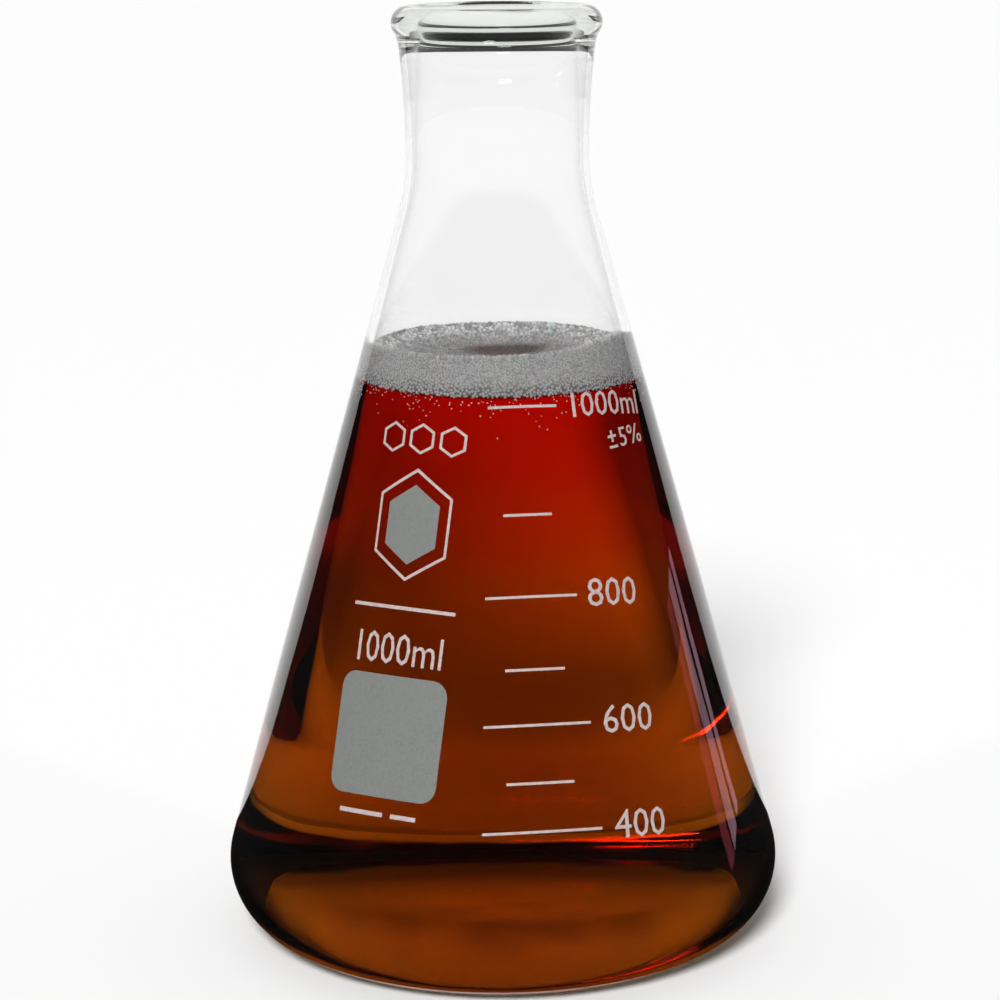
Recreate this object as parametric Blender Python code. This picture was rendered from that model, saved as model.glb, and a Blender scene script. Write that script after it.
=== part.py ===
"""One-litre narrow-mouth conical (Erlenmeyer) flask, holding a fizzy liquid under a foam head.

The glass is one blown piece: a thick pushed-up base, a rounded heel, a straight cone, a short neck
and a beaded rim. Its volume scale, numerals, capacity label, writing patch and emblem are enamel
fired on the outside of the cone, and each mark is its own thin deposit.

Axes: the origin is on the standing plane under the middle of the base, +Z points up the neck, and
the scale faces -Y. Azimuths run round the flask from -Y towards +X, in degrees.
"""

import math

import bmesh
import bpy
from mathutils import Matrix, Vector

MM = 0.001

# Glass, outside
HEIGHT = 217 * MM
BODY_RADIUS = 65 * MM
HEEL_RADIUS = 17 * MM
CONE_ANGLE = math.radians(15.6)
SHOULDER_RADIUS = 48 * MM
NECK_RADIUS = 21 * MM
NECK_FLARE = 1.5 * MM
FLARE_LENGTH = 25 * MM
RIM_RADIUS = 24.1 * MM
RIM_DEPTH = 8.4 * MM
RIM_BEAD_RADIUS = 3.8 * MM
RIM_BEAD_END = -42
STANDING_RING_WIDTH = 6 * MM
PUSH_UP = 1.2 * MM

# Glass, inside
WALL = 2.0 * MM
MOUTH_RADIUS = 18.2 * MM
FLOOR_HEIGHT = 3.2 * MM
FLOOR_DOME = 1.0 * MM
INNER_HEEL_RADIUS = 14.6 * MM

# Contents
LIQUID_LEVEL = 132.3 * MM
FOAM_EDGE_LEVEL = 139.4 * MM
FOAM_MIDDLE_LEVEL = 134.9 * MM
FOAM_HOLLOW_POWER = 3

# Enamel scale, at the heights where the flask holds each volume in millilitres
SCALE_HEIGHTS = {
    1000: 130.5 * MM,
    900: 107.4 * MM,
    800: 90.0 * MM,
    700: 74.6 * MM,
    600: 62.9 * MM,
    500: 50.7 * MM,
    400: 40.5 * MM,
}
NUMBERED_MARKS = (800, 600, 400)
LINE_THICKNESS = 0.6 * MM
LONG_LINE_LEFT = -4.4
LONG_LINE_RIGHT = 21.7
SHORT_LINE_LEFT = 0.9
SHORT_LINE_RIGHT = 16.3
NUMERAL_LEFT = 24.4
NUMERAL_LEAN = -3.3
NUMERAL_HEIGHT = 6.2 * MM
LABEL_LEFT = 25.4
LABEL_BASELINE = 127.5 * MM
LABEL_HEIGHT = 5.5 * MM

# Tolerance under the top mark's label, placed across from one azimuth
TOLERANCE_AZIMUTH = 51.0
TOLERANCE_BASELINE = 119.7 * MM
TOLERANCE_HEIGHT = 4.3 * MM
TOLERANCE_STROKE = 0.6 * MM
SIGN_ACROSS = -4.6 * MM
SIGN_ARM = 1.3 * MM
PLUS_RISE = 2.7 * MM
DIGIT_ACROSS = -2.6 * MM
PERCENT_ACROSS = 3.4 * MM
PERCENT_LEAN = 1.2 * MM
PERCENT_RING_ACROSS = 1.7 * MM
PERCENT_RING_RADIUS = 1.0 * MM
PERCENT_RING_WIDTH = 0.5 * MM

# Enamel panel left of the scale, all centred on one azimuth. A hexagon is its half width, its
# half height and the height its upright sides reach up and down
PANEL_AZIMUTH = -28.6
CELL_HEIGHT = 123 * MM
CELL_PITCH = 7.6 * MM
CELL_BORDER = (3.1 * MM, 3.5 * MM, 1.75 * MM)
CELL_HOLE = (2.5 * MM, 2.85 * MM, 1.4 * MM)
EMBLEM_HEIGHT = 104.5 * MM
EMBLEM_BORDER = (9.2 * MM, 12.6 * MM, 6.6 * MM)
EMBLEM_HOLE = (8.6 * MM, 11.8 * MM, 6.25 * MM)
EMBLEM_CORE = (6.4 * MM, 8.9 * MM, 4.7 * MM)
RULE_HEIGHT = 86.6 * MM
RULE_LENGTH = 26 * MM
RULE_THICKNESS = 0.8 * MM
CAPACITY_BASELINE = 74.5 * MM
CAPACITY_HEIGHT = 6.9 * MM
CAPACITY_SQUEEZE = 0.8
PATCH_HEIGHT = 59.1 * MM
PATCH_SIDE = 27 * MM
PATCH_CORNER = 3.6 * MM
FOOTER_HEIGHT = 42.5 * MM
FOOTER_THICKNESS = 1.0 * MM
LONG_DASH = (-9.7 * MM, 1.6 * MM)
SHORT_DASH = (3.6 * MM, 9.7 * MM)

# Lettering, as shares of the type size
DIGIT_HEIGHT = 0.69
ADVANCES = {"1": 0.46, "m": 0.77, "l": 0.24}
DIGIT_ADVANCE = 0.50

# Meshing and clearances
CLEARANCE = 0.3 * MM
PRINT_THICKNESS = 0.25 * MM
PRINT_FACET_WIDTH = 2.5 * MM
TURN_STEPS = 48
MERGE_DISTANCE = 0.01 * MM
PRINT_MERGE_DISTANCE = 0.001 * MM
CORNER_STEPS = 5
RING_STEPS = 14

# Places on the outline worked out from the sizes above, as (radius, height)
HEEL_CENTRE = (BODY_RADIUS - HEEL_RADIUS, HEEL_RADIUS)
APEX_HEIGHT = HEEL_CENTRE[1] + (
    HEEL_CENTRE[0] * math.cos(CONE_ANGLE) + HEEL_RADIUS) / math.sin(CONE_ANGLE)
SHOULDER_CENTRE = (
    NECK_RADIUS + SHOULDER_RADIUS,
    APEX_HEIGHT + (SHOULDER_RADIUS - (NECK_RADIUS + SHOULDER_RADIUS) * math.cos(CONE_ANGLE))
    / math.sin(CONE_ANGLE),
)
CONE_DEGREES = math.degrees(CONE_ANGLE)


def clear_scene():
    for old in list(bpy.data.objects):
        bpy.data.objects.remove(old)


def principled(name, colour, roughness, transmission=0.0):
    material = bpy.data.materials.new(name)
    material.use_nodes = True
    shader = material.node_tree.nodes["Principled BSDF"]
    shader.inputs["Base Color"].default_value = (*colour, 1.0)
    shader.inputs["Roughness"].default_value = roughness
    shader.inputs["Metallic"].default_value = 0.0
    shader.inputs["Transmission Weight"].default_value = transmission
    return material


def add_object(name, data, material):
    data.materials.append(material)
    item = bpy.data.objects.new(name, data)
    bpy.context.scene.collection.objects.link(item)
    return item


# ---- turned pieces: the glass, the liquid and the foam -------------------------------------


def arc(centre, radius, start, end, steps):
    """Points on a circle as (radius, height), from one angle in degrees to another."""
    points = []
    for step in range(steps + 1):
        angle = math.radians(start + (end - start) * step / steps)
        points.append((centre[0] + radius * math.cos(angle),
                       centre[1] + radius * math.sin(angle)))
    return points


def dish(edge, middle_height, power, steps):
    """A curve from an edge point in to the flask's axis, flat in the middle."""
    points = []
    for step in range(1, steps + 1):
        reach = 1 - step / steps
        height = middle_height + (edge[1] - middle_height) * reach ** power
        points.append((edge[0] * reach, height))
    return points


def cone_radius(height, inset):
    """Radius of the cone's face at a height, after the face moves inward by inset."""
    return (APEX_HEIGHT - height) * math.tan(CONE_ANGLE) - inset / math.cos(CONE_ANGLE)


def rim():
    """From the lip inside the mouth, over the top and down the outside of the bead."""
    lip_radius = RIM_RADIUS - RIM_BEAD_RADIUS - MOUTH_RADIUS
    lip = arc((MOUTH_RADIUS + lip_radius, HEIGHT - lip_radius), lip_radius, 180, 90, 4)
    bead_centre = (RIM_RADIUS - RIM_BEAD_RADIUS, HEIGHT - RIM_BEAD_RADIUS)
    bead = arc(bead_centre, RIM_BEAD_RADIUS, 90, 0, 5)
    bead += arc(bead_centre, RIM_BEAD_RADIUS, 0, RIM_BEAD_END, 3)[1:]
    return lip + bead[1:]


def flared_neck(steps):
    """Down the outside of the neck, from under the bead to where the flare dies out."""
    points = []
    for step in range(steps + 1):
        share = 1 - step / steps
        points.append((NECK_RADIUS + NECK_FLARE * share ** 2,
                       HEIGHT - RIM_DEPTH - FLARE_LENGTH * (1 - share)))
    return points


def hollow_floor(gap):
    """Down round the inner heel and in to the middle of the floor, drawn in by gap."""
    centre_height = FLOOR_HEIGHT + INNER_HEEL_RADIUS
    centre_radius = cone_radius(centre_height, WALL + INNER_HEEL_RADIUS)
    heel = arc((centre_radius, centre_height), INNER_HEEL_RADIUS - gap, CONE_DEGREES, -90, 8)
    return heel + dish(heel[-1], FLOOR_HEIGHT + FLOOR_DOME + gap, 2, 4)


def glass_outline():
    """Closed on the axis: up the inside from the floor, over the rim and down the outside."""
    inner_shoulder = arc(SHOULDER_CENTRE, SHOULDER_RADIUS + WALL, 180, 180 + CONE_DEGREES, 5)
    inside = inner_shoulder + hollow_floor(0)
    outer_shoulder = arc(SHOULDER_CENTRE, SHOULDER_RADIUS, 180, 180 + CONE_DEGREES, 5)
    heel = arc(HEEL_CENTRE, HEEL_RADIUS, CONE_DEGREES, 0, 2)
    heel += arc(HEEL_CENTRE, HEEL_RADIUS, 0, -90, 8)[1:]
    ring_inner_edge = (HEEL_CENTRE[0] - STANDING_RING_WIDTH, 0.0)
    underside = [ring_inner_edge] + dish(ring_inner_edge, PUSH_UP, 2, 4)
    return inside[::-1] + rim() + flared_neck(5) + outer_shoulder + heel + underside


def liquid_outline():
    edge = (cone_radius(LIQUID_LEVEL, WALL + CLEARANCE), LIQUID_LEVEL)
    return [(0.0, LIQUID_LEVEL), edge] + hollow_floor(CLEARANCE)


def foam_outline():
    bottom = LIQUID_LEVEL + CLEARANCE
    top_edge = (cone_radius(FOAM_EDGE_LEVEL, WALL + CLEARANCE), FOAM_EDGE_LEVEL)
    bottom_edge = (cone_radius(bottom, WALL + CLEARANCE), bottom)
    surface = [top_edge] + dish(top_edge, FOAM_MIDDLE_LEVEL, FOAM_HOLLOW_POWER, 6)
    return surface[::-1] + [bottom_edge, (0.0, bottom)]


def turned(name, outline, material):
    """Turn an outline, drawn as (radius, height) in the order that faces outward, about Z."""
    mesh = bpy.data.meshes.new(name)
    points = [(radius, 0.0, height) for radius, height in outline]
    mesh.from_pydata(points, [(step, step + 1) for step in range(len(points) - 1)], [])
    item = add_object(name, mesh, material)
    screw = item.modifiers.new("Turn", "SCREW")
    screw.axis = "Z"
    screw.angle = math.tau
    screw.steps = TURN_STEPS
    screw.render_steps = TURN_STEPS
    screw.use_smooth_shade = True
    screw.use_merge_vertices = True
    screw.merge_threshold = MERGE_DISTANCE
    return item


# ---- enamel: flat drawings bent round the cone ---------------------------------------------


def drawing_from_curve(curve):
    """The closed mesh of a flat curve or text, standing on its back face."""
    curve.extrude = PRINT_THICKNESS / 2
    guide = bpy.data.objects.new("drawing", curve)
    bpy.context.scene.collection.objects.link(guide)
    evaluated = guide.evaluated_get(bpy.context.evaluated_depsgraph_get())
    mesh = bpy.data.meshes.new_from_object(evaluated)
    bpy.data.objects.remove(guide)
    drawing = bmesh.new()
    drawing.from_mesh(mesh)
    bpy.data.meshes.remove(mesh)
    bmesh.ops.remove_doubles(drawing, verts=drawing.verts, dist=PRINT_MERGE_DISTANCE)
    bmesh.ops.translate(drawing, verts=drawing.verts, vec=(0, 0, PRINT_THICKNESS / 2))
    return drawing


def filled_shape(*loops):
    """A flat shape from its outer loop and any holes."""
    curve = bpy.data.curves.new("shape", "CURVE")
    curve.dimensions = "2D"
    curve.fill_mode = "BOTH"
    for loop in loops:
        spline = curve.splines.new("POLY")
        spline.points.add(len(loop) - 1)
        for point, (across, up) in zip(spline.points, loop):
            point.co = (across, up, 0.0, 1.0)
        spline.use_cyclic_u = True
    return drawing_from_curve(curve)


def glyph(character, digit_height, squeeze):
    """One printed character, and how far the next one starts after it."""
    size = digit_height / DIGIT_HEIGHT
    curve = bpy.data.curves.new("glyph", "FONT")
    curve.body = character
    curve.resolution_u = 2
    curve.size = size
    drawing = drawing_from_curve(curve)
    bmesh.ops.scale(drawing, verts=drawing.verts, vec=(squeeze, 1, 1))
    advance = ADVANCES.get(character, DIGIT_ADVANCE)
    return drawing, advance * size * squeeze


def rectangle(left, right, bottom, top):
    return [(left, bottom), (right, bottom), (right, top), (left, top)]


def rounded_square(side, corner):
    reach = side / 2 - corner
    outline = []
    for quarter, (across, up) in enumerate(((1, 1), (-1, 1), (-1, -1), (1, -1))):
        start = 90 * quarter
        outline += arc((across * reach, up * reach), corner, start, start + 90, CORNER_STEPS)
    return outline


def hexagon(half_width, half_height, shoulder):
    """A hexagon standing on a point, with its upright sides reaching shoulder up and down."""
    right = [(0.0, -half_height), (half_width, -shoulder), (half_width, shoulder)]
    return right + [(-across, -up) for across, up in right]


def circle(radius):
    return arc((0.0, 0.0), radius, 0, 360 - 360 / RING_STEPS, RING_STEPS - 1)


def wrap(drawing, azimuth, height):
    """Bend a flat drawing, x across and y up the slope, on to the cone around one place."""
    slope = (APEX_HEIGHT - height) / math.cos(CONE_ANGLE)
    for vert in drawing.verts:
        across, up, lift = vert.co
        stand_off = CLEARANCE + lift
        reach = math.hypot(across, slope - up)
        turn = math.radians(azimuth) + math.atan2(across, slope - up) / math.sin(CONE_ANGLE)
        radius = reach * math.sin(CONE_ANGLE) + stand_off * math.cos(CONE_ANGLE)
        vert.co = Vector((
            radius * math.sin(turn),
            -radius * math.cos(turn),
            APEX_HEIGHT - reach * math.cos(CONE_ANGLE) + stand_off * math.sin(CONE_ANGLE),
        ))


def cut_into_strips(drawing):
    """Cut a wide drawing across, so that it can follow the round wall."""
    reaches = [vert.co.x for vert in drawing.verts]
    strips = math.ceil((max(reaches) - min(reaches)) / PRINT_FACET_WIDTH)
    for strip in range(1, strips):
        place = min(reaches) + (max(reaches) - min(reaches)) * strip / strips
        everything = drawing.verts[:] + drawing.edges[:] + drawing.faces[:]
        bmesh.ops.bisect_plane(drawing, geom=everything, dist=PRINT_MERGE_DISTANCE,
                               plane_co=(place, 0, 0), plane_no=(1, 0, 0))
    bmesh.ops.triangulate(drawing, faces=drawing.faces)


def print_mark(name, drawing, azimuth, height, material, start=0.0, lean=0.0):
    """Fire one drawing on to the glass, shifted across by start and turned by lean."""
    bmesh.ops.translate(drawing, verts=drawing.verts, vec=(start, 0, 0))
    bmesh.ops.rotate(drawing, verts=drawing.verts, cent=(0, 0, 0),
                     matrix=Matrix.Rotation(math.radians(lean), 3, "Z"))
    cut_into_strips(drawing)
    wrap(drawing, azimuth, height)
    mesh = bpy.data.meshes.new(name)
    drawing.to_mesh(mesh)
    drawing.free()
    return add_object(name, mesh, material)


def print_text(name, text, digit_height, azimuth, baseline, material, squeeze=1.0, lean=0.0,
               centred=False):
    """Print a word one character at a time, from its left end or about its middle."""
    characters = [glyph(character, digit_height, squeeze) for character in text]
    start = -sum(advance for _, advance in characters) / 2 if centred else 0.0
    for number, (drawing, advance) in enumerate(characters, start=1):
        print_mark(f"{name}_{number}", drawing, azimuth, baseline, material, start, lean)
        start += advance


def print_line(volume, height, material):
    """One graduation, an arc of constant height."""
    numbered = volume in NUMBERED_MARKS or volume == 1000
    left = LONG_LINE_LEFT if numbered else SHORT_LINE_LEFT
    right = LONG_LINE_RIGHT if numbered else SHORT_LINE_RIGHT
    middle = (left + right) / 2
    half_length = cone_radius(height, 0) * math.radians(right - left) / 2
    half_thickness = LINE_THICKNESS / 2
    shape = filled_shape(rectangle(-half_length, half_length, -half_thickness, half_thickness))
    print_mark(f"graduation_line_{volume}", shape, middle, height, material)


def print_scale(enamel):
    for volume, height in SCALE_HEIGHTS.items():
        print_line(volume, height, enamel)
    for volume in NUMBERED_MARKS:
        baseline = SCALE_HEIGHTS[volume] - NUMERAL_HEIGHT / 2 * math.cos(CONE_ANGLE)
        print_text(f"numeral_{volume}", str(volume), NUMERAL_HEIGHT, NUMERAL_LEFT, baseline,
                   enamel, lean=NUMERAL_LEAN)
    print_text("top_mark_label", "1000ml", LABEL_HEIGHT, LABEL_LEFT, LABEL_BASELINE, enamel)


def print_tolerance(enamel):
    """Plus-or-minus five per cent, each stroke or ring that stands alone as its own mark."""
    def fire(name, drawing, across):
        print_mark(f"tolerance_{name}", drawing, TOLERANCE_AZIMUTH, TOLERANCE_BASELINE, enamel,
                   across)

    half = TOLERANCE_STROKE / 2
    quarter = [(half, half), (half, SIGN_ARM), (-half, SIGN_ARM)]
    plus = []
    for _ in range(4):
        plus += quarter
        quarter = [(-up, across) for across, up in quarter]
    plus = [(across, up + PLUS_RISE) for across, up in plus]
    fire("plus", filled_shape(plus), SIGN_ACROSS)
    minus = rectangle(-SIGN_ARM, SIGN_ARM, 0, TOLERANCE_STROKE)
    fire("minus", filled_shape(minus), SIGN_ACROSS)
    digit, _ = glyph("5", TOLERANCE_HEIGHT, 1.0)
    fire("digit", digit, DIGIT_ACROSS)
    slash = [(-PERCENT_LEAN - half, 0), (-PERCENT_LEAN + half, 0),
             (PERCENT_LEAN + half, TOLERANCE_HEIGHT), (PERCENT_LEAN - half, TOLERANCE_HEIGHT)]
    fire("percent_slash", filled_shape(slash), PERCENT_ACROSS)
    top = TOLERANCE_HEIGHT - PERCENT_RING_RADIUS
    for name, side, up in (("upper", -1, top), ("lower", 1, PERCENT_RING_RADIUS)):
        ring = filled_shape(circle(PERCENT_RING_RADIUS),
                            circle(PERCENT_RING_RADIUS - PERCENT_RING_WIDTH))
        bmesh.ops.translate(ring, verts=ring.verts, vec=(0, up, 0))
        fire(f"percent_ring_{name}", ring, PERCENT_ACROSS + side * PERCENT_RING_ACROSS)


def print_panel(enamel, grey):
    """The column of marks left of the scale: plain emblem, capacity, writing patch, dashes."""
    def fire(name, drawing, height, material, across=0.0):
        print_mark(name, drawing, PANEL_AZIMUTH, height, material, across)

    for name, side in (("left", -1), ("middle", 0), ("right", 1)):
        cell = filled_shape(hexagon(*CELL_BORDER), hexagon(*CELL_HOLE))
        fire(f"emblem_cell_{name}", cell, CELL_HEIGHT, enamel, side * CELL_PITCH)
    border = filled_shape(hexagon(*EMBLEM_BORDER), hexagon(*EMBLEM_HOLE))
    fire("emblem_outline", border, EMBLEM_HEIGHT, enamel)
    fire("emblem_core", filled_shape(hexagon(*EMBLEM_CORE)), EMBLEM_HEIGHT, grey)
    rule = rectangle(-RULE_LENGTH / 2, RULE_LENGTH / 2, -RULE_THICKNESS / 2, RULE_THICKNESS / 2)
    fire("emblem_rule", filled_shape(rule), RULE_HEIGHT, enamel)
    print_text("capacity_label", "1000ml", CAPACITY_HEIGHT, PANEL_AZIMUTH, CAPACITY_BASELINE,
               enamel, squeeze=CAPACITY_SQUEEZE, centred=True)
    fire("writing_patch", filled_shape(rounded_square(PATCH_SIDE, PATCH_CORNER)), PATCH_HEIGHT,
         grey)
    for name, (left, right) in (("long", LONG_DASH), ("short", SHORT_DASH)):
        dash = rectangle(left, right, -FOOTER_THICKNESS / 2, FOOTER_THICKNESS / 2)
        fire(f"footer_dash_{name}", filled_shape(dash), FOOTER_HEIGHT, enamel)


def main():
    clear_scene()
    glass = principled("clear_glass", (0.86, 0.90, 0.88), 0.03, transmission=1.0)
    liquid = principled("red_brown_liquid", (0.42, 0.05, 0.01), 0.05, transmission=0.6)
    foam = principled("foam", (0.72, 0.72, 0.70), 0.55)
    enamel = principled("white_enamel", (0.86, 0.82, 0.80), 0.45)
    grey = principled("grey_enamel", (0.52, 0.55, 0.53), 0.5)
    turned("glass_body", glass_outline(), glass)
    turned("liquid", liquid_outline(), liquid)
    turned("foam_head", foam_outline(), foam)
    print_scale(enamel)
    print_tolerance(enamel)
    print_panel(enamel, grey)


main()
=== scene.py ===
"""Looks of the one-litre conical flask: clear glass, fizzy red-brown liquid, foam and enamel scale.

Lengths are in metres, in the frame of the CAD model: the flask stands on Z = 0, the scale faces -Y,
and azimuths run round the flask from -Y towards +X.
"""

import math
import random

import bmesh
import bpy
from mathutils import Matrix, Vector
from mathutils.kdtree import KDTree


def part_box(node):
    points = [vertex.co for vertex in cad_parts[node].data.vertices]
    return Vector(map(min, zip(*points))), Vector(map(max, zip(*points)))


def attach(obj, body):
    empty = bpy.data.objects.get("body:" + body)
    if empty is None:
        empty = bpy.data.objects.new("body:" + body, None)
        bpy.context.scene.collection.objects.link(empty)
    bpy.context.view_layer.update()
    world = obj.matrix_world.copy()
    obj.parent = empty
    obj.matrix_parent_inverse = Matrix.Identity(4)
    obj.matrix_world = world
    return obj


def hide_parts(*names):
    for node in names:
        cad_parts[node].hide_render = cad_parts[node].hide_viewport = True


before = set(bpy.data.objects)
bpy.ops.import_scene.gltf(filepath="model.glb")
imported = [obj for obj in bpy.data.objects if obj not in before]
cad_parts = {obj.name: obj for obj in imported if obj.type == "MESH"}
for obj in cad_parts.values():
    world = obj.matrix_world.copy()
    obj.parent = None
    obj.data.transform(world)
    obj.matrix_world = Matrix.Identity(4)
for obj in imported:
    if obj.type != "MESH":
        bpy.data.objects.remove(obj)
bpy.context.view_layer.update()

MM = 0.001

# Sizes read from the frame
BODY_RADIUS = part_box("glass_body")[1].x
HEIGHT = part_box("glass_body")[1].z
LIQUID_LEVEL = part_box("liquid")[1].z
FOAM_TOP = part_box("foam_head")[1].z

# The flask's outline, as the CAD model draws it
HEEL_RADIUS = 17 * MM
CONE_ANGLE = math.radians(15.6)
CONE_DEGREES = math.degrees(CONE_ANGLE)
SHOULDER_RADIUS = 48 * MM
NECK_RADIUS = 21 * MM
NECK_FLARE = 1.5 * MM
FLARE_LENGTH = 25 * MM
RIM_RADIUS = 24.1 * MM
RIM_DEPTH = 8.4 * MM
RIM_BEAD_RADIUS = 3.8 * MM
RIM_BEAD_END = -42
STANDING_RING_WIDTH = 6 * MM
PUSH_UP = 1.2 * MM
WALL = 2.0 * MM
MOUTH_RADIUS = 18.2 * MM
FLOOR_HEIGHT = 3.2 * MM
FLOOR_DOME = 1.0 * MM
INNER_HEEL_RADIUS = 14.6 * MM
CAD_CLEARANCE = 0.3 * MM

HEEL_CENTRE = (BODY_RADIUS - HEEL_RADIUS, HEEL_RADIUS)
APEX_HEIGHT = HEEL_CENTRE[1] + (
    HEEL_CENTRE[0] * math.cos(CONE_ANGLE) + HEEL_RADIUS) / math.sin(CONE_ANGLE)
SHOULDER_CENTRE = (
    NECK_RADIUS + SHOULDER_RADIUS,
    APEX_HEIGHT + (SHOULDER_RADIUS - (NECK_RADIUS + SHOULDER_RADIUS) * math.cos(CONE_ANGLE))
    / math.sin(CONE_ANGLE),
)

# Contact between the contents and the glass: the liquid's and the foam's skins run a little way
# inside the wall, so that light passes from glass to liquid with no film of air between them
WETTING = 0.1 * MM

# How finely the outlines are cut: steps round a full turn, and steps or spacings along a curve
TURN_STEPS = 256
FLOOR_STEPS = 24
FOAM_STEPS = 1200
FOAM_DISH_STEPS = 84
FOAM_SPACING = 0.16 * MM

# Foam: a froth of bubbles pressed against the wall, higher on the right, hollow in the middle.
# Its rises are in millimetres
FOAM_INSET = WALL - 0.02 * MM
FOAM_CREST = 1.0 * MM
FOAM_FOOT = LIQUID_LEVEL - 0.7 * MM
FOAM_FOOT_INSET = 0.4 * MM
FOAM_FOOT_SLOPE = 0.57
FOAM_MIDDLE = LIQUID_LEVEL + 2.0 * MM
FOAM_HOLLOW_POWER = 3
FRONT_RISE = 0.55
TONGUE_RISE = 3.0
TONGUE_AZIMUTH = math.radians(60)
TONGUE_WIDTH = math.radians(27)
RIPPLE_RISE = 0.12
RIPPLES = 5
LEAST_RISE = 0.1
# The dark brown patch of the hollow, partly painted shade: its middle and its stretch
HOLLOW_MIDDLE = (1.5 * MM, 14.5 * MM, 0.0)
HOLLOW_STRETCH = (0.45, 1.0, 1.0)

# Bubbles: how many there are, and their radii. The ranges on the wall and the top are shares of
# a radius. Those of the crest and the fizz, the middle's bubble and its growth are in millimetres
WALL_BUBBLES = 5200
TOP_BUBBLES = 4200
FIZZ_BUBBLES = 420
COARSE_BUBBLE = 0.36 * MM
COARSE_HEIGHT = 3 * MM
FINE_BUBBLE = 0.28 * MM
MIDDLE_BUBBLE = 0.26
EDGE_BUBBLE_GROWTH = 0.38
WALL_BUBBLE_RANGE = (0.82, 1.1)
TOP_BUBBLE_RANGE = (0.6, 1.1)
CREST_BUBBLE_RANGE = (0.48, 0.7)
CREST_BUBBLE_INSET = 0.45 * MM
CREST_BUBBLE_DROP = 0.3 * MM
CREST_BUBBLE_PITCH = 1.9
FIZZ_RANGE = (0.1, 0.24)
FIZZ_MEAN_DEPTH = 1.6 * MM
FIZZ_LEAST_DEPTH = 0.25 * MM
FIZZ_MOST_DEPTH = 30 * MM
BUBBLE_CELL = 0.7 * MM
BUBBLE_GAP = 0.86
TRIES = 9
NEAREST = 3
CREST_SEED = 5
WALL_SEED = 3
TOP_SEED = 4
FIZZ_SEED = 11

# Enamel: a thin film, with a little of the CAD mark's own thickness left on it
FILM = 0.03 * MM
FILM_SHARE = 0.2

# Materials. Where the glass is wet, its inner faces bend light by the ratio of the two indices,
# and the liquid's own skin, just inside the wall, bends none
GLASS_INDEX = 1.47
LIQUID_INDEX = 1.34
WHITE = (1.0, 1.0, 1.0)
BLACK = (0.01, 0.01, 0.01)
# Glass colours: grey-green where the glass is thick, and darkened further by painted shade at the
# base, along the bead and at the edges seen side-on
BASE_TINT_AND_SHADE = (0.5, 0.53, 0.48)
BEAD_SHADE = (0.86, 0.88, 0.85)
GRAZING_SHADE = (0.66, 0.68, 0.66)
BASE_SHADE_TOP = 16 * MM
BEAD_SHADE_DEPTH = 10 * MM
GLASS_WAVES = (70.0, 70.0, 9.0)
GLASS_WAVE_DEPTH = 0.6 * MM
# Liquid colour by height, a painted shade: clear at the foot, redder and darker towards the top
LIQUID_SHADE_FOOT = 30 * MM
LIQUID_SHADE_TOP = 132 * MM
LIQUID_SHADE_STOPS = (
    (0.1, WHITE), (0.35, (1.0, 0.8, 0.75)), (0.5, (0.95, 0.34, 0.3)),
    (0.67, (0.9, 0.09, 0.08)), (0.83, (0.85, 0.03, 0.025)), (1.0, (0.9, 0.005, 0.005)),
)
LIQUID_COLOUR = (0.9, 0.754, 0.0)
LIQUID_DENSITY = 120.0
# Painted shade in the gaps between the foam's bubbles
BUBBLE_GAP_SHADE = (0.07, 0.07, 0.07)
WHITE_ENAMEL = (0.37, 0.32, 0.31)
WORN_WHITE = (0.29, 0.21, 0.20)
GREY_ENAMEL = (0.145, 0.15, 0.143)
WORN_GREY = (0.125, 0.13, 0.122)

# Sky: brightness by the height of a direction, darker towards the front
WORLD_STOPS = ((0.0, 0.95), (0.3, 0.95), (0.45, 0.2), (0.7, 0.2), (0.85, 0.6), (1.0, 0.6))
FRONT_DARKNESS = 0.5
FRONT_START = 0.15
FRONT_END = -0.45
FRONT_FOOT = 0.08
FRONT_TOP = 0.2

# Lights: angles in degrees, and powers in watts, or for the key in watts a square metre
KEY_POWER = 4.1
KEY_SPREAD = 16.0
KEY_AZIMUTH = -10.0
KEY_ELEVATION = 36.0
WINDOW_AIM = Vector((0.0, 0.0, 0.08))
WINDOW_DISTANCE = 0.30
WINDOW_ELEVATION = -4.0
WINDOW_HEIGHT = 0.088
WINDOW_PINK = (1.0, 0.56, 0.70)
WINDOW_RED = (1.0, 0.16, 0.22)
WINDOWS = (
    ("window_inner", 100.5, 0.024, 0.006, WINDOW_RED),
    ("window_left", 107.0, 0.030, 0.0133, WINDOW_PINK),
    ("window_right", 113.5, 0.018, 0.008, WINDOW_PINK),
)
GLOWS = (
    ("base_glow", (0.0, 0.0, 0.0002), (0.072, 0.072), 0.0040, (1.0, 0.2, 0.03)),
    ("back_glow", (0.0, 0.093, 0.012), (0.10, 0.018), 0.0045, (1.0, 0.85, 0.7)),
)

# Flags: cards that only reflected or only refracted rays see, with their azimuths in degrees
CARD_STEPS = 60
FLAG_LEFT = -135.0
FLAG_RIGHT = 136.0
FLAG_OUTLINE = ((0.056, 0.001), (0.3, 0.001), (1.0, 0.001), (3.0, 0.001), (3.0, 0.5), (3.0, 1.5))
SIDE_DISTANCE = 0.106
SIDE_FOOT = 0.0005
SIDE_HEIGHT = 0.105
SIDE_TOP_SHARE = 0.7
SIDE_CLEAR = 0.006
SIDE_FULL = 0.020
SIDE_FADE = 0.045
SIDE_END = 0.080
SIDE_FIRST = 120.0
SIDE_LAST = 178.0
LEFT_DARKNESS = 0.72
RIGHT_DARKNESS = 0.5
RIM_FLAG_DISTANCE = 0.1
RIM_FLAG_FOOT = 0.222
RIM_FLAG_TOP = 0.3
RIM_FLAG_CLEAR = 0.01
RIM_FLAG_SHARE = 0.8

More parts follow.
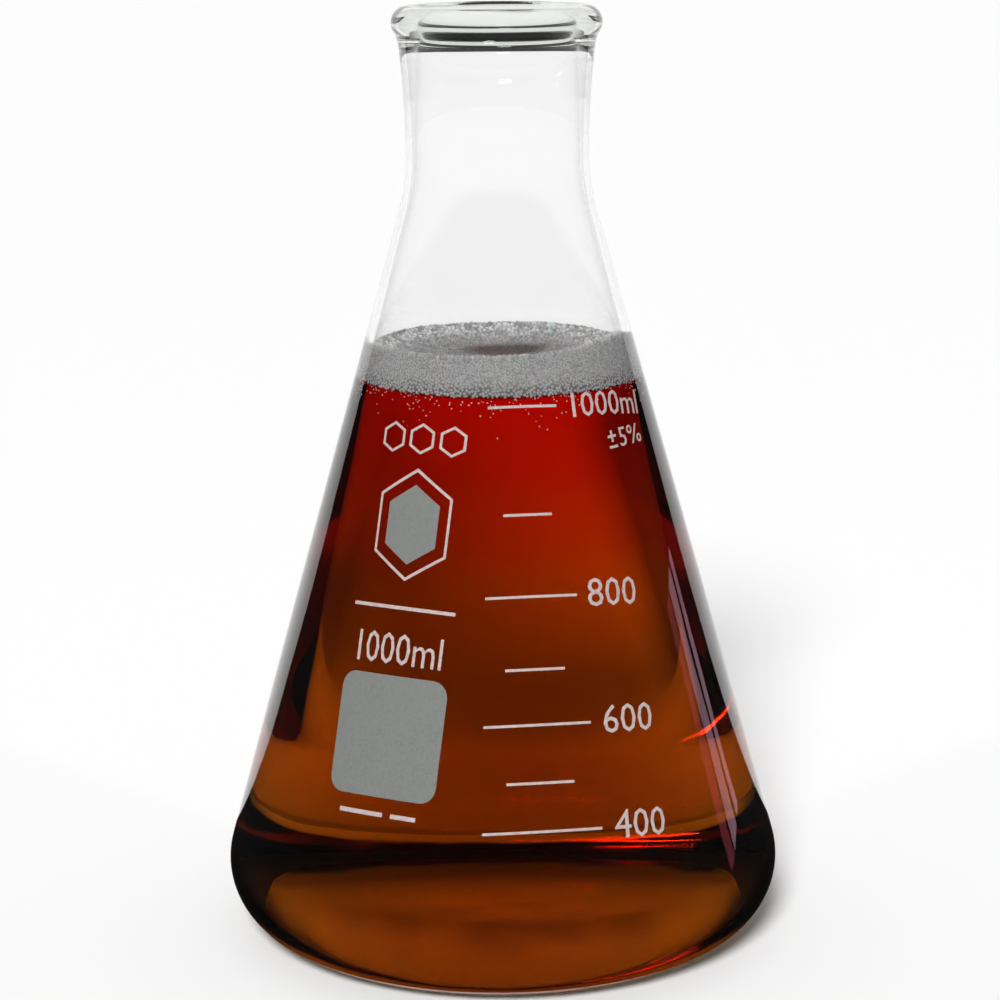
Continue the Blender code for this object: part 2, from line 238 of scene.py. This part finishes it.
# Camera: the photograph's view, from just above the mouth
LENS = 106.26
SHIFT = (0.0003, -0.069)
CAMERA_PLACE = (0.0, -0.67564, 0.24832)
CAMERA_TILT = 0.18972
CAMERA_ROLL = -0.0077

# A ray through the flask to the floor behind it crosses many skins of glass and liquid
BOUNCES = 32


# ---- meshes ---------------------------------------------------------------------------------


def placed(name, data):
    """A new object in the scene, for a mesh, a light or a camera."""
    item = bpy.data.objects.new(name, data)
    bpy.context.scene.collection.objects.link(item)
    return item


def mesh_object(name, verts, faces, material):
    mesh = bpy.data.meshes.new(name)
    mesh.from_pydata(verts, [], faces)
    mesh.materials.append(material)
    mesh.validate()
    mesh.shade_smooth()
    return placed(name, mesh)


def around(azimuth, radius, height):
    """A place on a circle round the flask, with the azimuth in radians."""
    return radius * math.sin(azimuth), -radius * math.cos(azimuth), height


def arc(centre, radius, start, end, spacing=0.9 * MM):
    """Points on a circle as (radius, height), from one angle in degrees to another."""
    length = radius * math.radians(abs(end - start))
    steps = max(3, math.ceil(abs(end - start) / 5), math.ceil(length / spacing))
    points = []
    for step in range(steps + 1):
        angle = math.radians(start + (end - start) * step / steps)
        points.append((centre[0] + radius * math.cos(angle),
                       centre[1] + radius * math.sin(angle)))
    return points


def run(start, end, spacing):
    """Points between two places, without the two ends."""
    length = math.dist(start, end)
    steps = max(1, math.ceil(length / spacing))
    return [(start[0] + (end[0] - start[0]) * step / steps,
             start[1] + (end[1] - start[1]) * step / steps) for step in range(1, steps)]


def dish(edge, middle_height, power, steps):
    """A curve from an edge point in to the flask's axis, flat in the middle."""
    points = []
    for step in range(1, steps + 1):
        reach = 1 - step / steps
        height = middle_height + (edge[1] - middle_height) * reach ** power
        points.append((edge[0] * reach, height))
    return points


def cone_radius(height, inset):
    """Radius of the cone's face at a height, after the face moves inward by inset."""
    return (APEX_HEIGHT - height) * math.tan(CONE_ANGLE) - inset / math.cos(CONE_ANGLE)


def rim():
    """From the lip inside the mouth, over the top and down the outside of the bead."""
    lip_radius = RIM_RADIUS - RIM_BEAD_RADIUS - MOUTH_RADIUS
    lip = arc((MOUTH_RADIUS + lip_radius, HEIGHT - lip_radius), lip_radius, 180, 90, 0.25 * MM)
    bead_centre = (RIM_RADIUS - RIM_BEAD_RADIUS, HEIGHT - RIM_BEAD_RADIUS)
    bead = arc(bead_centre, RIM_BEAD_RADIUS, 90, RIM_BEAD_END, 0.3 * MM)
    return lip + bead[1:]


def flared_neck(steps):
    """Down the outside of the neck, from under the bead to where the flare dies out."""
    points = []
    for step in range(steps + 1):
        share = 1 - step / steps
        points.append((NECK_RADIUS + NECK_FLARE * share ** 2,
                       HEIGHT - RIM_DEPTH - FLARE_LENGTH * (1 - share)))
    return points


def hollow_floor(gap):
    """Down round the inner heel and in to the middle of the floor, drawn in by gap."""
    centre_height = FLOOR_HEIGHT + INNER_HEEL_RADIUS
    centre_radius = cone_radius(centre_height, WALL + INNER_HEEL_RADIUS)
    heel = arc((centre_radius, centre_height), INNER_HEEL_RADIUS - gap, CONE_DEGREES, -90)
    return heel + dish(heel[-1], FLOOR_HEIGHT + FLOOR_DOME + gap, 2, FLOOR_STEPS)


def join(*stretches, spacing=3 * MM):
    """One outline from several, with the straight gaps between them cut into short runs."""
    outline = list(stretches[0])
    for stretch in stretches[1:]:
        outline += run(outline[-1], stretch[0], spacing) + list(stretch)
    return outline


def glass_outline():
    """Closed on the axis: up the inside from the floor, over the rim and down the outside."""
    inner_shoulder = arc(SHOULDER_CENTRE, SHOULDER_RADIUS + WALL, 180, 180 + CONE_DEGREES)
    waterline = (cone_radius(LIQUID_LEVEL, WALL), LIQUID_LEVEL)
    inside = join(inner_shoulder, [waterline], hollow_floor(0))
    outer_shoulder = arc(SHOULDER_CENTRE, SHOULDER_RADIUS, 180, 180 + CONE_DEGREES)
    heel = arc(HEEL_CENTRE, HEEL_RADIUS, CONE_DEGREES, -90)
    ring_inner_edge = (HEEL_CENTRE[0] - STANDING_RING_WIDTH, 0.0)
    underside = [ring_inner_edge] + dish(ring_inner_edge, PUSH_UP, 2, FLOOR_STEPS)
    return join(inside[::-1], rim(), flared_neck(16), outer_shoulder, heel, underside)


def liquid_outline():
    edge = (cone_radius(LIQUID_LEVEL, WALL - WETTING), LIQUID_LEVEL)
    return join([(0.0, LIQUID_LEVEL)], [edge], hollow_floor(-WETTING))


def turned(name, outline, material, steps=TURN_STEPS, move=None):
    """Turn an outline, drawn as (radius, height) in the order that faces outward, about Z.

    move(azimuth, radius, height) may return a changed (radius, height) for each point."""
    verts, rings, faces = [], [], []
    for radius, height in outline:
        if radius < 1e-7:
            spot = move(0.0, 0.0, height)[1] if move else height
            rings.append([len(verts)] * steps)
            verts.append((0.0, 0.0, spot))
            continue
        ring = []
        for step in range(steps):
            azimuth = math.tau * step / steps
            r, z = move(azimuth, radius, height) if move else (radius, height)
            ring.append(len(verts))
            verts.append(around(azimuth, r, z))
        rings.append(ring)
    for upper, lower in zip(rings, rings[1:]):
        for step in range(steps):
            after = (step + 1) % steps
            corners = [upper[step], lower[step], lower[after], upper[after]]
            corners = list(dict.fromkeys(corners))
            if len(corners) > 2:
                faces.append(corners)
    return mesh_object(name, verts, faces, material)


# ---- materials ------------------------------------------------------------------------------


class Tree:
    """A node tree, with short calls to add and link nodes."""

    def __init__(self, tree):
        self.tree = tree

    def add(self, kind, inputs=None, **settings):
        node = self.tree.nodes.new(kind)
        for key, value in settings.items():
            setattr(node, key, value)
        for key, value in (inputs or {}).items():
            if isinstance(value, bpy.types.NodeSocket):
                self.tree.links.new(value, node.inputs[key])
            else:
                node.inputs[key].default_value = value
        return node

    def split(self, vector):
        return self.add("ShaderNodeSeparateXYZ", {"Vector": vector}).outputs

    def times(self, one, two):
        return self.add("ShaderNodeMath", {0: one, 1: two}, operation="MULTIPLY").outputs["Value"]

    def ramp(self, fac, *stops):
        node = self.add("ShaderNodeValToRGB", {"Fac": fac})
        elements = node.color_ramp.elements
        while len(elements) < len(stops):
            elements.new(0.5)
        for element, (position, colour) in zip(elements, stops):
            element.position = position
            element.color = (*colour, 1.0)
        return node.outputs["Color"]

    def span(self, value, low, high, to_low, to_high):
        node = self.add("ShaderNodeMapRange", {
            "Value": value, "From Min": low, "From Max": high, "To Min": to_low,
            "To Max": to_high})
        return node.outputs["Result"]


class Nodes(Tree):
    """The node tree of a new material with one Principled shader."""

    def __init__(self, name):
        self.material = bpy.data.materials.new(name)
        self.material.use_nodes = True
        super().__init__(self.material.node_tree)
        self.shader = self.tree.nodes["Principled BSDF"]
        self.output = self.tree.nodes["Material Output"]

    def set(self, **values):
        for key, value in values.items():
            socket = self.shader.inputs[key.replace("_", " ")]
            if isinstance(value, bpy.types.NodeSocket):
                self.tree.links.new(value, socket)
            else:
                socket.default_value = (*value, 1.0) if isinstance(value, tuple) else value

    def place(self):
        return self.add("ShaderNodeTexCoord").outputs["Object"]

    def stretched(self, scale):
        mapping = self.add("ShaderNodeMapping", {"Vector": self.place(), "Scale": scale})
        return mapping.outputs["Vector"]

    def height(self):
        return self.split(self.place())["Z"]

    def noise(self, scale, detail, vector=None):
        inputs = {"Vector": vector or self.place(), "Scale": scale, "Detail": detail}
        return self.add("ShaderNodeTexNoise", inputs).outputs["Fac"]

    def attribute(self, name):
        return self.add("ShaderNodeAttribute", attribute_name=name).outputs["Fac"]

    def vector(self, operation, *inputs):
        return self.add("ShaderNodeVectorMath", dict(enumerate(inputs)),
                        operation=operation).outputs

    def blend(self, fac, one, two, kind="MIX"):
        node = self.add("ShaderNodeMix", data_type="RGBA", blend_type=kind)
        for key, value in ((0, fac), (6, one), (7, two)):
            if isinstance(value, bpy.types.NodeSocket):
                self.tree.links.new(value, node.inputs[key])
            else:
                node.inputs[key].default_value = value if key == 0 else (*value, 1.0)
        return node.outputs[2]

    def bump(self, height, strength, distance):
        inputs = {"Height": height, "Strength": strength, "Distance": distance}
        return self.add("ShaderNodeBump", inputs).outputs["Normal"]

    def absorb(self, colour, density):
        volume = self.add("ShaderNodeVolumeAbsorption")
        volume.inputs["Color"].default_value = (*colour, 1.0)
        volume.inputs["Density"].default_value = density
        self.tree.links.new(volume.outputs["Volume"], self.output.inputs["Volume"])


def glass_material(name, index, base_tint_and_shade):
    """Clear glass, grey-green where light crosses much of it, with painted shade darkening the
    base, the bead and the edges seen side-on.
    """
    n = Nodes(name)
    # Painted shade: the glass darkens towards its base and towards the top of the bead
    base = n.ramp(n.span(n.height(), 0.0, BASE_SHADE_TOP, 0.0, 1.0),
                  (0.35, base_tint_and_shade), (1.0, WHITE))
    bead = n.ramp(n.span(n.height(), HEIGHT - BEAD_SHADE_DEPTH, HEIGHT, 0.0, 1.0),
                  (0.1, WHITE), (0.3, BEAD_SHADE))
    tint_with_painted_shade = n.blend(1.0, base, bead, "MULTIPLY")
    # Painted shade: the glass greys at its edges, where it is seen side-on
    edge_shade_mask = n.add("ShaderNodeLayerWeight", {"Blend": 0.5}).outputs["Facing"]
    tint_with_painted_shade = n.blend(n.span(edge_shade_mask, 0.6, 0.95, 0.0, 1.0), tint_with_painted_shade, GRAZING_SHADE)
    n.set(Roughness=0.0, Transmission_Weight=1.0, Base_Color=tint_with_painted_shade)
    n.shader.inputs["IOR"].default_value = index
    waves = n.noise(1.0, 1.0, n.stretched(GLASS_WAVES))
    n.set(Normal=n.bump(waves, 0.25, GLASS_WAVE_DEPTH))
    return n.material


def liquid_material(name, index):
    """Coloured by how much of it light crosses, with painted shade in its colour: clear at the
    foot, redder and darker towards the top.
    """
    n = Nodes(name)
    # Painted shade: the liquid grows redder and darker towards the top
    share = n.span(n.height(), LIQUID_SHADE_FOOT, LIQUID_SHADE_TOP, 0.0, 1.0)
    tint_with_painted_shade = n.ramp(share, *LIQUID_SHADE_STOPS)
    n.set(Roughness=0.0, Transmission_Weight=1.0, Base_Color=tint_with_painted_shade)
    n.shader.inputs["IOR"].default_value = index
    n.absorb(LIQUID_COLOUR, LIQUID_DENSITY)
    return n.material


def foam_material():
    """Grey froth, with painted shade in the gaps between its bubbles, a pale crest whose bright
    specks are painted highlights, and a brown hollow in the middle, partly liquid seen through the
    thin froth and partly painted shade.
    """
    n = Nodes("foam")
    split = n.split(n.place())
    flat = n.add("ShaderNodeCombineXYZ", {"X": split["X"], "Y": split["Y"]}).outputs["Vector"]
    reach = n.vector("LENGTH", flat)["Value"]
    off_middle = n.vector("SUBTRACT", flat, HOLLOW_MIDDLE)["Vector"]
    stretched = n.vector("MULTIPLY", off_middle, HOLLOW_STRETCH)["Vector"]
    from_hollow = n.vector("LENGTH", stretched)["Value"]

    froth = n.ramp(n.noise(900.0, 2.0), (0.35, (0.38, 0.38, 0.378)), (0.65, (0.5, 0.5, 0.495)))
    # Painted highlights: bright specks on the bubbles near the crest
    pale = n.ramp(n.noise(500.0, 1.0), (0.42, (0.45, 0.45, 0.45)), (0.58, (0.98, 0.98, 0.98)))
    grey = n.ramp(n.noise(700.0, 2.0), (0.4, (0.36, 0.36, 0.36)), (0.6, (0.55, 0.55, 0.54)))
    # The hollow's dark brown: partly the liquid seen through thin froth, partly painted shade in
    # the hollow
    brown = n.ramp(n.noise(140.0, 3.0), (0.42, (0.07, 0.06, 0.055)), (0.6, (0.15, 0.03, 0.03)))
    edge = cone_radius(FOAM_TOP, FOAM_INSET)
    crest = n.span(reach, edge - 8 * MM, edge - 3.5 * MM, 0.0, 1.0)
    on_top = n.span(reach, edge - 0.2 * MM, edge - 1.2 * MM, 0.0, 1.0)
    colour = n.blend(on_top, froth, n.blend(crest, grey, pale))
    colour = n.blend(n.span(from_hollow, 5.5 * MM, 3.2 * MM, 0.0, 0.9), colour, brown)
    # Painted shade: the gaps between bubbles are darkened, most near the liquid's level
    low = n.span(n.height(), LIQUID_LEVEL + 0.8 * MM, LIQUID_LEVEL + 3.2 * MM, 0.85, 0.4)
    gaps = n.times(n.span(n.attribute("bubble"), 0.0, 0.28, 1.0, 0.0), low)
    colour = n.blend(gaps, colour, BUBBLE_GAP_SHADE)
    n.set(Base_Color=colour, Roughness=0.3, Subsurface_Weight=0.2, Subsurface_Scale=0.0005)
    return n.material


def fizz_material():
    n = Nodes("fizz")
    shade = n.ramp(n.noise(2000.0, 1.0), (0.4, (0.5, 0.42, 0.41)), (0.6, (0.8, 0.74, 0.72)))
    n.set(Base_Color=shade, Roughness=0.2)
    return n.material


def enamel_material(name, colour, worn):
    """Fired enamel, finely grained, with broad patches where it is worn."""
    n = Nodes(name)
    grain = n.noise(1500.0, 4.0)
    broad = n.noise(160.0, 2.0)
    speckle = n.ramp(grain, (0.35, worn), (0.6, colour))
    n.set(Base_Color=n.blend(n.span(broad, 0.3, 0.7, 0.0, 0.35), speckle, colour),
          Roughness=n.span(grain, 0.3, 0.7, 0.45, 0.65), Normal=n.bump(grain, 0.3, 0.05 * MM))
    return n.material


def floor_material():
    n = Nodes("pale_floor")
    n.set(Base_Color=(0.9, 0.9, 0.9), Roughness=0.6, Specular_IOR_Level=0.2)
    return n.material


def matt_black(name):
    n = Nodes(name)
    n.set(Base_Color=BLACK, Roughness=1.0, Specular_IOR_Level=0.0)
    return n


# ---- pieces ---------------------------------------------------------------------------------


def settle(piece, slot, *nodes):
    """Put a piece on the one body in place of CAD nodes, which are hidden; slot is not used."""
    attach(piece, "root")
    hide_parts(*nodes)


def foam_outline():
    """Closed on the axis: out over the hollow top, round the crest and down the wall."""
    crest_centre = (cone_radius(FOAM_TOP - FOAM_CREST, FOAM_INSET) - FOAM_CREST,
                    FOAM_TOP - FOAM_CREST)
    crest = arc(crest_centre, FOAM_CREST, 90, CONE_DEGREES, FOAM_SPACING)
    top = [crest[0]] + dish(crest[0], FOAM_MIDDLE, FOAM_HOLLOW_POWER, FOAM_DISH_STEPS)
    waterline = (cone_radius(LIQUID_LEVEL, FOAM_INSET), LIQUID_LEVEL)
    foot = (waterline[0] - FOAM_FOOT_INSET, FOAM_FOOT)
    wall = join(crest, [waterline], [foot], spacing=FOAM_SPACING)
    return top[::-1] + wall[1:] + [(0.0, FOAM_FOOT)]


def foam_rise(azimuth):
    """How far the foam's top is raised: more at the front, and most in the tongue on the right."""
    front = FRONT_RISE * (1 + math.cos(azimuth))
    tongue = TONGUE_RISE * math.exp(-((azimuth - TONGUE_AZIMUTH) / TONGUE_WIDTH) ** 2)
    ripple = RIPPLE_RISE * math.sin(RIPPLES * azimuth + 1.0)
    return (LEAST_RISE + front + tongue + ripple) * MM


def foam_place(azimuth, radius, height):
    """A place on the froth, lifted with its uneven crest and kept along the cone's wall."""
    share = (height - FOAM_MIDDLE) / (FOAM_TOP - FOAM_MIDDLE)
    lift = foam_rise(azimuth) * min(max(share, 0.0), 1.0)
    wall_share = min(radius / cone_radius(height, FOAM_INSET), 1.0)
    return radius - lift * math.tan(CONE_ANGLE) * wall_share, height + lift


def bubble_size(reach, height):
    """The radius of the bubbles in a part of the froth: reach is 1 at the wall."""
    if reach >= 1:
        return COARSE_BUBBLE if height < LIQUID_LEVEL + COARSE_HEIGHT else FINE_BUBBLE
    return (MIDDLE_BUBBLE + EDGE_BUBBLE_GROWTH * max(reach - 0.5, 0.0) / 0.5) * MM


def neighbours(grid, key):
    """The bubbles kept so far in a cell of the grid and in the 26 cells round it."""
    near = []
    for x in (-1, 0, 1):
        for y in (-1, 0, 1):
            for z in (-1, 0, 1):
                near += grid.get((key[0] + x, key[1] + y, key[2] + z), ())
    return near


def scattered(count, draw, seed):
    """Bubbles thrown at random on to a surface, as (place, radius), none much inside another."""
    rng = random.Random(seed)
    grid = {}
    bubbles = []
    for _ in range(count * TRIES):
        place, radius = draw(rng)
        key = tuple(math.floor(value / BUBBLE_CELL) for value in place)
        near = neighbours(grid, key)
        if all((place - other).length > BUBBLE_GAP * (radius + size) for other, size in near):
            grid.setdefault(key, []).append((place, radius))
            bubbles.append((place, radius))
            if len(bubbles) == count:
                break
    return bubbles


def on_foam(azimuth, radius, height):
    radius, height = foam_place(azimuth, radius, height)
    return Vector(around(azimuth, radius, height))


def wall_bubble(rng):
    """A bubble on the side of the froth, which slopes in below the liquid's level."""
    azimuth = rng.uniform(0, math.tau)
    height = rng.uniform(FOAM_FOOT, FOAM_TOP - 0.4 * MM)
    radius = cone_radius(height, FOAM_INSET)
    if height < LIQUID_LEVEL:
        radius -= (LIQUID_LEVEL - height) * FOAM_FOOT_SLOPE
    size = bubble_size(1, height) * rng.uniform(*WALL_BUBBLE_RANGE)
    return on_foam(azimuth, radius, height), size


def top_bubble(rng):
    """A bubble on the top of the froth."""
    azimuth = rng.uniform(0, math.tau)
    edge = cone_radius(FOAM_TOP, FOAM_INSET) - FOAM_CREST
    reach = math.sqrt(rng.uniform(0, 1))
    height = FOAM_MIDDLE + (FOAM_TOP - FOAM_MIDDLE) * reach ** FOAM_HOLLOW_POWER
    size = bubble_size(reach * 0.99, height) * rng.uniform(*TOP_BUBBLE_RANGE)
    return on_foam(azimuth, reach * edge, height), size


def crest_bubbles():
    """A string of larger bubbles all the way round the crest."""
    rng = random.Random(CREST_SEED)
    edge = cone_radius(FOAM_TOP, FOAM_INSET) - CREST_BUBBLE_INSET
    bubbles = []
    azimuth = 0.0
    while azimuth < math.tau:
        size = rng.uniform(*CREST_BUBBLE_RANGE) * MM
        bubbles.append((on_foam(azimuth, edge, FOAM_TOP - CREST_BUBBLE_DROP), size))
        azimuth += CREST_BUBBLE_PITCH * size / edge
    return bubbles


def make_foam(material):
    """One closed skin, pushed out over the bubbles near each of its points.

    Its attribute "bubble" runs from 0 in the gaps to 1 in the middle of a bubble."""
    foam = turned("foam", foam_outline(), material, FOAM_STEPS, foam_place)
    bubbles = crest_bubbles()
    bubbles += scattered(WALL_BUBBLES, wall_bubble, WALL_SEED)
    bubbles += scattered(TOP_BUBBLES, top_bubble, TOP_SEED)
    tree = KDTree(len(bubbles))
    for index, (place, _) in enumerate(bubbles):
        tree.insert(place, index)
    tree.balance()
    lifted = []
    depths = []
    for vert in foam.data.vertices:
        lift = depth = 0.0
        if vert.co.z > FOAM_FOOT + 0.05 * MM:
            for _, index, gap in tree.find_n(vert.co, NEAREST):
                size = bubbles[index][1]
                lift = max(lift, math.sqrt(max(size * size - gap * gap, 0.0)))
                depth = max(depth, 1 - gap / size)
        lifted.append(vert.co + vert.normal * lift)
        depths.append(depth)
    inside = foam.data.attributes.new("bubble", "FLOAT", "POINT")
    inside.data.foreach_set("value", depths)
    for vert, place in zip(foam.data.vertices, lifted):
        vert.co = place
    return foam


def make_fizz(material):
    """Small bubbles on the inside of the wall, thickest just under the foam."""
    rng = random.Random(FIZZ_SEED)
    cloud = bmesh.new()
    for _ in range(FIZZ_BUBBLES):
        azimuth = rng.uniform(0, math.tau)
        depth = min(rng.expovariate(1 / FIZZ_MEAN_DEPTH), FIZZ_MOST_DEPTH)
        height = LIQUID_LEVEL - FIZZ_LEAST_DEPTH - depth
        size = rng.uniform(*FIZZ_RANGE) * MM
        radius = cone_radius(height, WALL - 2 * WETTING + size)
        place = Matrix.Translation(around(azimuth, radius, height))
        bmesh.ops.create_icosphere(cloud, subdivisions=2, radius=size, matrix=place)
    mesh = bpy.data.meshes.new("fizz")
    cloud.to_mesh(mesh)
    cloud.free()
    mesh.materials.append(material)
    mesh.shade_smooth()
    return placed("fizz", mesh)


def flush_print(node, material):
    """A copy of a printed mark, let down on to the glass as a thin film of enamel."""
    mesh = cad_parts[node].data.copy()
    lift = Vector((math.cos(CONE_ANGLE), math.sin(CONE_ANGLE)))
    for vert in mesh.vertices:
        radius = math.hypot(vert.co.x, vert.co.y)
        outward = Vector((radius, vert.co.z - APEX_HEIGHT))
        stand_off = outward.dot(lift)
        film = FILM + (stand_off - CAD_CLEARANCE) * FILM_SHARE
        outward += lift * (film - stand_off)
        vert.co.x *= outward.x / radius
        vert.co.y *= outward.x / radius
        vert.co.z = APEX_HEIGHT + outward.y
    mesh.materials.clear()
    mesh.materials.append(material)
    return placed(f"{node}_enamel", mesh)


def make_glass():
    """The flask, with the inner faces that touch the liquid in a material of their own."""
    clear = glass_material("clear_glass", GLASS_INDEX, BASE_TINT_AND_SHADE)
    glass = turned("glass", glass_outline(), clear)
    wet = glass_material("wet_glass", GLASS_INDEX / LIQUID_INDEX, WHITE)
    glass.data.materials.append(wet)
    for face in glass.data.polygons:
        middle = face.center
        inward = Vector((-middle.x, -middle.y, 20 * MM))
        if face.normal.dot(inward) > 0 and middle.z < LIQUID_LEVEL:
            face.material_index = 1
    return glass


def make_pieces():
    settle(make_glass(), "clear_glass", "glass_body")
    liquid = turned("beverage", liquid_outline(), liquid_material("liquid", 1.0))
    settle(liquid, "liquid", "liquid")
    settle(make_foam(foam_material()), "foam", "foam_head")
    settle(make_fizz(fizz_material()), "foam", "foam_head")
    white = enamel_material("white_enamel", WHITE_ENAMEL, WORN_WHITE)
    grey = enamel_material("grey_enamel", GREY_ENAMEL, WORN_GREY)
    for node in sorted(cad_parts):
        if node in ("glass_body", "liquid", "foam_head"):
            continue
        is_grey = node in ("writing_patch", "emblem_core")
        piece = flush_print(node, grey if is_grey else white)
        settle(piece, "grey_enamel" if is_grey else "white_enamel", node)


# ---- studio ---------------------------------------------------------------------------------


def make_floor():
    outline = [(0.0, 0.0)] + [(radius, 0.0) for radius in (0.5, 2.0, 8.0, 40.0)]
    floor = turned("floor", outline, floor_material(), steps=96)


def make_world():
    """A pale sky with a darker band part of the way up, and darker towards the front."""
    world = bpy.data.worlds.new("studio")
    bpy.context.scene.world = world
    world.use_nodes = True
    n = Tree(world.node_tree)
    split = n.split(n.add("ShaderNodeTexCoord").outputs["Generated"])
    stops = [(position, (level, level, level)) for position, level in WORLD_STOPS]
    sky = n.ramp(split["Z"], *stops)
    dark = n.times(n.span(split["Y"], FRONT_START, FRONT_END, 0.0, 1.0),
                   n.span(split["Z"], FRONT_FOOT, FRONT_TOP, 0.0, FRONT_DARKNESS))
    background = n.tree.nodes["Background"]
    n.tree.links.new(sky, background.inputs["Color"])
    n.tree.links.new(n.span(dark, 0.0, 1.0, 1.0, 0.0), background.inputs["Strength"])


def lamp(name, kind, power, colour=WHITE):
    data = bpy.data.lights.new(name, kind)
    data.energy = power
    data.color = colour
    light = placed(name, data)
    light.visible_camera = False
    return light


def turn_towards_flask(light, azimuth, elevation):
    """Shine a light from an azimuth and elevation in degrees, and return that direction."""
    turn, rise = math.radians(azimuth), math.radians(elevation)
    back = Vector(around(turn, math.cos(rise), math.sin(rise)))
    light.rotation_mode = "QUATERNION"
    light.rotation_quaternion = back.to_track_quat("Z", "Y")
    return back


def make_key():
    """A broad, distant light from the front, a little to the left."""
    light = lamp("key", "SUN", KEY_POWER)
    light.data.angle = math.radians(KEY_SPREAD)
    turn_towards_flask(light, KEY_AZIMUTH, KEY_ELEVATION)
    light.visible_glossy = False


def window(name, azimuth, width, power, colour):
    """A narrow upright light, seen only by its reflection in the glass."""
    light = lamp(name, "AREA", power, colour)
    light.data.shape = "RECTANGLE"
    light.data.size = width
    light.data.size_y = WINDOW_HEIGHT
    back = turn_towards_flask(light, azimuth, WINDOW_ELEVATION)
    light.location = WINDOW_AIM + back * WINDOW_DISTANCE
    light.visible_diffuse = False
    light.visible_transmission = False


def glow(name, place, size, power, colour):
    """A small light close over the floor, shining down, seen only by what it lights."""
    light = lamp(name, "AREA", power, colour)
    light.data.shape = "ELLIPSE"
    light.data.size, light.data.size_y = size
    light.location = place
    light.visible_glossy = False
    light.visible_transmission = False


def make_lights():
    make_key()
    for values in WINDOWS:
        window(*values)
    for values in GLOWS:
        glow(*values)


def curved_card(name, outline, left, right, material, seen_by):
    """A studio card bent round the flask, from one azimuth to another, seen by one kind of ray."""
    verts, faces = [], []
    for step in range(CARD_STEPS + 1):
        azimuth = math.radians(left + (right - left) * step / CARD_STEPS)
        for radius, height in outline:
            verts.append(around(azimuth, radius, height))
    for step in range(CARD_STEPS):
        for row in range(len(outline) - 1):
            first = step * len(outline) + row
            faces.append((first, first + 1, first + 1 + len(outline), first + len(outline)))
    card = mesh_object(name, verts, faces, material)
    for kind in ("camera", "diffuse", "glossy", "transmission", "volume_scatter", "shadow"):
        setattr(card, f"visible_{kind}", kind == seen_by)


def side_flag(name, side, darkness):
    """A grey card behind one side of the liquid, clear in the middle and faded at its edges."""
    n = matt_black(name)
    across = n.split(n.place())["X"]
    rise = n.span(across, side * SIDE_CLEAR, side * SIDE_FULL, 0.0, darkness)
    fall = n.span(across, side * SIDE_FADE, side * SIDE_END, 1.0, 0.0)
    top = n.span(n.height(), SIDE_HEIGHT * SIDE_TOP_SHARE, SIDE_HEIGHT, 1.0, 0.0)
    n.set(Alpha=n.times(n.times(rise, fall), top))
    outline = ((SIDE_DISTANCE, SIDE_FOOT), (SIDE_DISTANCE, SIDE_HEIGHT))
    curved_card(name, outline, side * SIDE_FIRST, side * SIDE_LAST, n.material, "transmission")


def rim_flag():
    """A black card high behind the flask, which gives the bead its dark band."""
    n = matt_black("rim_flag")
    behind = n.split(n.place())["Y"]
    far = RIM_FLAG_DISTANCE * RIM_FLAG_SHARE
    n.set(Alpha=n.span(behind, RIM_FLAG_CLEAR, far, 0.0, 1.0))
    outline = ((RIM_FLAG_DISTANCE, RIM_FLAG_FOOT), (RIM_FLAG_DISTANCE, RIM_FLAG_TOP))
    curved_card("rim_flag", outline, 90.0, 270.0, n.material, "transmission")


def make_flags():
    black = matt_black("black_flag").material
    curved_card("black_flag", FLAG_OUTLINE, FLAG_LEFT, FLAG_RIGHT, black, "glossy")
    side_flag("side_flag_left", -1, LEFT_DARKNESS)
    side_flag("side_flag_right", 1, RIGHT_DARKNESS)
    rim_flag()


def make_camera():
    """The photograph's view: just above the flask's mouth, tilted down."""
    data = bpy.data.cameras.new("camera")
    data.sensor_width = 36.0
    data.lens = LENS
    data.shift_x, data.shift_y = SHIFT
    data.clip_start = 0.05
    data.clip_end = 100.0
    camera = placed("camera", data)
    turn = Matrix.Rotation(math.radians(90) - CAMERA_TILT, 4, "X")
    roll = Matrix.Rotation(CAMERA_ROLL, 4, "Z")
    camera.matrix_world = Matrix.Translation(CAMERA_PLACE) @ turn @ roll
    bpy.context.scene.camera = camera


def main():
    make_camera()
    make_pieces()
    make_floor()
    make_world()
    make_lights()
    make_flags()
    scene = bpy.context.scene
    scene.view_settings.view_transform = "Standard"
    scene.cycles.max_bounces = BOUNCES
    scene.cycles.transmission_bounces = BOUNCES
    scene.cycles.glossy_bounces = BOUNCES // 2


main()
